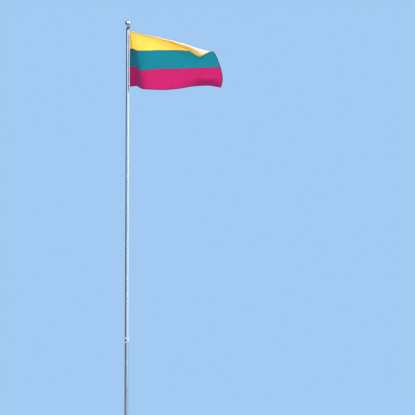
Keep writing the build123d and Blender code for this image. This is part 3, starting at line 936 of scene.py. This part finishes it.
def rolled_stripe(along, across):
    """The upper stripe: from the seam it stands up to the roll, goes over it in a half turn, and hangs down
    in front. Where the roll's axis has sunk below the seam, the cloth joins the turn part of the way up."""
    x = distance_out(along, 1 / 3)
    seam = upper_seam(x / FLAG_REACH) - 1 / 3
    radius, axis, hang = roll_radius(along), roll_axis(along), roll_hang(along)
    standing = np.clip(axis - seam, 0, None)
    first_turn = np.arcsin(np.clip((seam - axis) / radius, 0, ROLL_SUNK_LIMIT))
    over = (math.pi - first_turn) * radius
    climbed = (1 - across) * (standing + over + hang)
    turn = first_turn + np.clip((climbed - standing) / radius, 0, math.pi - first_turn)
    hung = np.clip(climbed - standing - over, 0, None)
    z = np.where(climbed < standing, seam + climbed, axis + radius * np.sin(turn) - hung)
    lean = ROLL_LEAN + ROLL_LEAN_MORE * along ** ROLL_LEAN_POWER
    forward = radius * (np.cos(first_turn) - np.cos(turn)) + lean * hung
    slipped = ROLL_SLIP * ramp(along, ROLL_SLIP_START, 1) ** ROLL_SLIP_POWER
    share_over = np.clip((climbed - standing) / (over + hang), 0, 1)
    down = np.clip(-z, 0, 1 / 3)
    return in_flag_frame(x - slipped * share_over, fold_depth(x, down) + ripples(x, z) + forward, z)


stripe_surfaces = {
    "upper": rolled_stripe,
    "middle": plain_stripe(upper_seam, lower_seam, 1),
    "lower": plain_stripe(lower_seam, lower_edge, 2),
}
print("lower fly corner at", stripe_surfaces["lower"](1.0, 1.0).round(3))

# %% [markdown]
# ## The cloth
# Each stripe is a grid over its function, and a Solidify modifier gives it the thickness of flag cloth. Two
# numbers are kept with each point for the finish to read: how squarely the cloth faces the viewer's side,
# which the finish turns into a painted shade in the folds, and where the sun lights the top of the roll and
# the turned-over back, which it paints a pale cream as a highlight.

# %% Stripes
FLAG_LENGTH = 1.67
STRIPE_HEIGHT = 1.0 / 3.0
CLOTH_THICKNESS = 0.8 * MM
ALONG_STEPS = 260
ACROSS_STEPS = 60
COLOURS = {"upper": "yellow", "middle": "green", "lower": "red"}
# Where the top of the roll is painted with a highlight: by the share that faces the viewer, and by share
# along the flag
LIMB_FACING = (0.85, 0.60)
LIMB_ALONG = (0.1, 0.3)
# Where the back of the cloth shows and is painted with the same highlight: by the same two, and by share
# across the stripe
BACK_FACING = (0.2, -0.467)
BACK_ALONG = (0.6, 0.9)
BACK_ACROSS = (0.1, 0.45)


def mark(mesh, name, values):
    """Stores a number for each vertex, which a finish can read by its name."""
    stored = mesh.attributes.new(name, "FLOAT", "POINT")
    stored.data.foreach_set("value", np.ravel(values).astype(np.float32))


def towards_share(points):
    """The part of a grid's own direction that points towards the viewer: below 0 where it has turned over."""
    square = unit(np.cross(np.gradient(points, axis=1), np.gradient(points, axis=0)))
    return -square @ TOWARDS_VIEWER


def thicken(piece, thickness):
    """Gives a sheet its thickness, half of it to each side."""
    solid = piece.modifiers.new("thickness", "SOLIDIFY")
    solid.thickness = thickness
    solid.offset = 0.0


def make_stripe(level):
    """A stripe's sheet, mapped by its flat size. The first stored number, for a painted shade in the folds,
    is the square of the share that points towards the viewer. The second, for a painted highlight, is 1 along
    the top of the roll, and on the cloth's back that shows towards the fly."""
    along, across = np.meshgrid(np.linspace(0, 1, ALONG_STEPS + 1), np.linspace(0, 1, ACROSS_STEPS + 1))
    points = stripe_surfaces[level](along, across)
    rows = np.linspace(0, STRIPE_HEIGHT, ACROSS_STEPS + 1)
    columns = np.linspace(0, FLAG_LENGTH, ALONG_STEPS + 1)
    mesh = grid_mesh(f"flag_{level}_cloth", points, rows, columns)
    towards = towards_share(points)
    # Painted fold shade: the share that faces the viewer, squared
    mark(mesh, "Facing", towards ** 2)
    limb = ramp(np.abs(towards), *LIMB_FACING) * ramp(along, *LIMB_ALONG) * (level == "upper")
    back = ramp(towards, *BACK_FACING) * ramp(along, *BACK_ALONG) * ramp(across, *BACK_ACROSS)
    # Painted highlight: 1 on the sunlit top of the roll and on the back towards the fly
    mark(mesh, "Painted_Highlight", np.maximum(limb, back))
    colour = COLOURS[level]
    piece = add_piece(mesh, "flag", cloth_finishes[colour], [f"flag_{level}_stripe"])
    thicken(piece, CLOTH_THICKNESS)
    return piece


stripes = {level: make_stripe(level) for level in COLOURS}
print("cloth", sum(len(stripe.data.polygons) for stripe in stripes.values()), "faces")

# %% [markdown]
# ## Hems and seams
# Every free edge is turned over twice and sewn, and the stripes are joined by felled seams. Each is a flat,
# rounded band: a squashed ring of points carried along the edge, in the cloth's plane. A hem lies inside its
# edge, and a seam half on each stripe. Two rows of running stitches dive through each band, so that every
# second stitch shows on each side.

# %% Bands along the edges
HEM_THICKNESS = 2.6 * MM
BAND_AROUND = 12
BAND_SQUARENESS = 0.6
EDGE_PROBE = 0.004


def edge_frame(cloth, along, across, inward):
    """Points of an edge, the direction into the cloth, and the cloth's own direction there."""
    edge = cloth(along, across)
    into = unit(cloth(along + inward[0] * EDGE_PROBE, across + inward[1] * EDGE_PROBE) - edge)
    ahead = unit(np.gradient(edge, axis=0))
    facing = unit(np.cross(ahead, into))
    return edge, unit(np.cross(facing, ahead)), facing


def band_mesh(name, edge, into, facing, width, outside):
    """A flat band about an edge. Its section is a squashed ring, and a part of its width lies outside."""
    angle = np.arange(BAND_AROUND) / BAND_AROUND * TAU
    flat = squarer(np.cos(angle), BAND_SQUARENESS) * width / 2 + width / 2 - outside
    proud = np.sin(angle) * HEM_THICKNESS / 2
    points = edge[:, None] + flat[:, None] * into[:, None] + proud[:, None] * facing[:, None]
    mesh = closed_mesh(name, points[::-1], length_along(edge), 2 * width)
    # The band's painted fold shade, from how squarely it faces the viewer
    towards = (facing[::-1] @ TOWARDS_VIEWER) ** 2
    mark(mesh, "Facing", np.concatenate([np.repeat(towards, BAND_AROUND), towards[[0, -1]]]))
    return mesh


print("a hem is", round(HEM_THICKNESS / CLOTH_THICKNESS, 2), "cloths thick")

# %% Stitches, and a band on every edge
HEM_WIDTH = 14 * MM
SEAM_BAND_WIDTH = 9 * MM
OVER_EDGE = 0.6 * MM
STITCH_LENGTH = 4.5 * MM
STITCH_DIVE = 1.7 * MM
STITCH_INSET = 2.0 * MM
STITCH_POINTS = 3
THREAD_RADIUS = 0.4 * MM
THREAD_AROUND = 4
BAND_STEPS = 330
run = np.linspace(0, 1, BAND_STEPS)
short_run = np.linspace(0, 1, BAND_STEPS // 4)
# Each edge's shares along and across its stripe, and which way the cloth lies from it
EDGES = {
    "top": (run, 0 * run, (0, 1)),
    "bottom": (run, 0 * run + 1, (0, -1)),
    "fly": (0 * short_run + 1, short_run, (-1, 0)),
}
# Each band's width, how much of it lies outside the edge, and its finishes
HEM = (HEM_WIDTH, OVER_EDGE, hem_finishes)
SEAM = (SEAM_BAND_WIDTH, SEAM_BAND_WIDTH / 2, seam_finishes)


def stitch_mesh(name, edge, into, facing, inset):
    """A running stitch: a fine thread beside an edge. It stands proud of the cloth's middle by
    dive sin(pi distance / stitch length)."""
    distance = length_along(edge)
    count = int(distance[-1] / STITCH_LENGTH)
    walked = np.linspace(0, distance[-1], STITCH_POINTS * count)
    at, inwards, out = (np.stack([np.interp(walked, distance, part[:, k]) for k in range(3)], axis=-1)
                        for part in (edge, into, facing))
    dive = STITCH_DIVE * np.sin(math.pi * walked / STITCH_LENGTH)
    path = at + inset * inwards + dive[:, None] * out
    points = tube_points(path, THREAD_RADIUS, inwards, THREAD_AROUND)
    return closed_mesh(name, points, length_along(path), TAU * THREAD_RADIUS)


def make_band(name, level, side, kind):
    """A hem or seam on one of a stripe's edges, with a row of stitches near each of its sides."""
    width, outside, finishes = kind
    colour = COLOURS[level]
    edge, into, facing = edge_frame(stripe_surfaces[level], *EDGES[side])
    for row, inset in enumerate((STITCH_INSET - outside, width - outside - STITCH_INSET)):
        thread = stitch_mesh(f"{name}_stitches_{row + 1}", edge, into, facing, inset)
        add_piece(thread, "flag", thread_finishes[colour])
    band = band_mesh(name, edge, into, facing, width, outside)
    return add_piece(band, "flag", finishes[colour])


bands = {
    "upper": [make_band("top_hem", "upper", "top", HEM),
              make_band("upper_fly_hem", "upper", "fly", HEM)],
    "middle": [make_band("upper_seam_band", "middle", "top", SEAM),
               make_band("middle_fly_hem", "middle", "fly", HEM)],
    "lower": [make_band("lower_seam_band", "lower", "top", SEAM),
              make_band("lower_fly_hem", "lower", "fly", HEM),
              make_band("bottom_hem", "lower", "bottom", HEM)],
}
print("hems and seams", sum(len(made) for made in bands.values()))

# %% [markdown]
# ## The heading
# A white webbing sleeve runs down the rope side of the flag. Seen from above it is a loop round the rope,
# with two tails that hold the stripes between them, and that outline is carried down the rope.

# %% Heading
LOOP_RADIUS = 5.5 * MM
LOOP_POINTS = 33
TAIL_LENGTH = 4 * MM
TAIL_POINTS = 7
TAIL_GAP = 1.3 * MM
WEBBING_THICKNESS = 0.9 * MM
HEADING_ROWS = 160


def make_heading():
    """Each row is one outline seen from above: in along the near tail, round the rope, and out along the far
    one. The tails follow the cloth's own depth."""
    opening = math.asin(TAIL_GAP / LOOP_RADIUS)
    turn = np.linspace(opening, TAU - opening, LOOP_POINTS)
    tail = np.linspace(1, 0, TAIL_POINTS + 1)[:-1]
    tail_x = LOOP_RADIUS * math.cos(opening) + tail * TAIL_LENGTH
    tail_side = np.full(TAIL_POINTS, TAIL_GAP)
    outline_x = np.concatenate([tail_x, LOOP_RADIUS * np.cos(turn), tail_x[::-1]])
    side = np.concatenate([tail_side, LOOP_RADIUS * np.sin(turn), -tail_side])
    low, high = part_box("flag_heading")
    z = np.linspace(0.0, low.z - high.z, HEADING_ROWS)
    x, level = np.meshgrid(outline_x, z)
    cloth_depth = fold_depth(x, -level) * (x > LOOP_RADIUS)
    points = in_flag_frame(x, cloth_depth + side, level)
    across = np.concatenate([[0.0], np.cumsum(np.hypot(np.diff(outline_x), np.diff(side)))])
    mesh = grid_mesh("flag_heading_webbing", points, -z, across)
    # No painted fold shade on the webbing
    mark(mesh, "Facing", np.ones(x.shape))
    piece = add_piece(mesh, "flag", webbing_finish, ["flag_heading"])
    thicken(piece, WEBBING_THICKNESS)
    return piece


heading = make_heading()
print("heading", len(heading.data.polygons), "faces, with", len(stripes), "stripes hung from it")

# %% [markdown]
# ## Light
# The sun stands high behind the pole to the right. It shines through the thin flag and puts a bright line
# along the tube. A weaker light from the right draws the tube's edge, and a broad one fills the front.

# %% Light
# Each lamp's direction from the part, its strength, and its width in degrees, which softens the shadows
LAMPS = {
    "sun_behind": ((0.30, 0.60, 0.74), 5.8, 7.0),
    "edge_light": ((0.935, -0.27, 0.23), 1.8, 30.0),
    "front_light": ((0.05, -0.85, 0.52), 2.5, 40.0),
}


for name, (source, strength, width) in LAMPS.items():
    light = bpy.data.lights.new(name, "SUN")
    light.energy = strength
    light.angle = math.radians(width)
    lamp = bpy.data.objects.new(name, light)
    lamp.rotation_mode = "QUATERNION"
    lamp.rotation_quaternion = Vector(source).to_track_quat("Z", "Y")
    bpy.context.scene.collection.objects.link(lamp)
print("lamps", sorted(LAMPS))

# %% [markdown]
# ## Backdrop and floor
# The viewer sees a plain blue. Bright metal mirrors that blue above, greyer ground below the horizon, and a
# darker side on the left, which gives round metal its shape. Matt pieces get a softer, even light. The kind
# of ray that reaches the world tells the three apart.
# The floor is a round pale plate that fades into the backdrop, so that no view shows its edge.

# %% Backdrop
BACKDROP = (0.36, 0.59, 0.89, 1.0)
SKYLIGHT = (0.28, 0.31, 0.36, 1.0)
GROUND = (0.52, 0.54, 0.55, 1.0)
DARK_SIDE = (0.17, 0.20, 0.25, 1.0)
# Where the dark side gives way to the sky, by the share to the right, and the ground, by the share upwards
DARK_SIDE_ENDS = (-1.02, -0.45)
GROUND_ENDS = (-0.06, 0.10)


def make_world():
    """The backdrop for the viewer's own rays, what shiny surfaces mirror, and the even light for the rest."""
    world = Finish("backdrop", bpy.data.worlds, "ShaderNodeOutputWorld")
    seen = world.node("ShaderNodeLightPath")
    glossy = seen.of("Is Glossy Ray")
    shiny = glossy.math("MAXIMUM", glossy, seen.of("Is Transmission Ray"))
    sideways, _, height = world.parts(world.node("ShaderNodeTexCoord", output="Generated"))
    above = world.mix(height.between(*GROUND_ENDS), GROUND, BACKDROP)
    mirrored = world.mix(sideways.between(*DARK_SIDE_ENDS), DARK_SIDE, above)
    tone = world.mix(seen, world.mix(shiny, SKYLIGHT, mirrored), BACKDROP)
    bpy.context.scene.world = world.close(world.node("ShaderNodeBackground", None, {"Color": tone}))


make_world()
print("world", bpy.context.scene.world.name)

# %% Floor
FLOOR_RADIUS = 4.0
FLOOR_HOLE = 0.01
FLOOR_RINGS = 12
FLOOR_AROUND = 64
FLOOR_FADE = (0.45, 0.95)
FLOOR_TONES = ((0.27, 0.29, 0.31, 1.0), (0.29, 0.31, 0.33, 1.0))
FLOOR_ROUGHNESS = 0.85


def make_floor():
    """A flat round plate whose rim fades out: alpha falls smoothly with the distance from the pole."""
    finish = Finish("floor_finish")
    distance = finish.node("ShaderNodeVectorMath", {"operation": "LENGTH"}, {0: finish.place()}, "Value")
    tone = finish.mix(finish.noise(3.0), *FLOOR_TONES)
    fade_start, fade_end = (share * FLOOR_RADIUS for share in FLOOR_FADE)
    material = finish.close(finish.principled(
        Base_Color=tone, Roughness=FLOOR_ROUGHNESS, Alpha=1 - distance.between(fade_start, fade_end)))
    radius = np.linspace(FLOOR_HOLE, FLOOR_RADIUS, FLOOR_RINGS)
    points = turned(radius, 0 * radius, FLOOR_AROUND)
    around = np.linspace(0, TAU, FLOOR_AROUND + 1)
    mesh = grid_mesh("floor", points[::-1], radius, around, closed=True)
    floor = bpy.data.objects.new("floor", mesh)
    mesh.materials.append(material)
    bpy.context.scene.collection.objects.link(floor)
    floor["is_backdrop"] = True
    return floor


make_floor()
print("floor", 2 * FLOOR_RADIUS, "m across")

# %% [markdown]
# ## Finish
# The model's box is printed beside the solid model's, so that the two sizes stand side by side.

# %% Sizes, and the end
model_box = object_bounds()
for corner_cad, corner_model in zip(cad_box, model_box):
    print("box", [round(c, 3) for c in corner_cad], [round(c, 3) for c in corner_model])
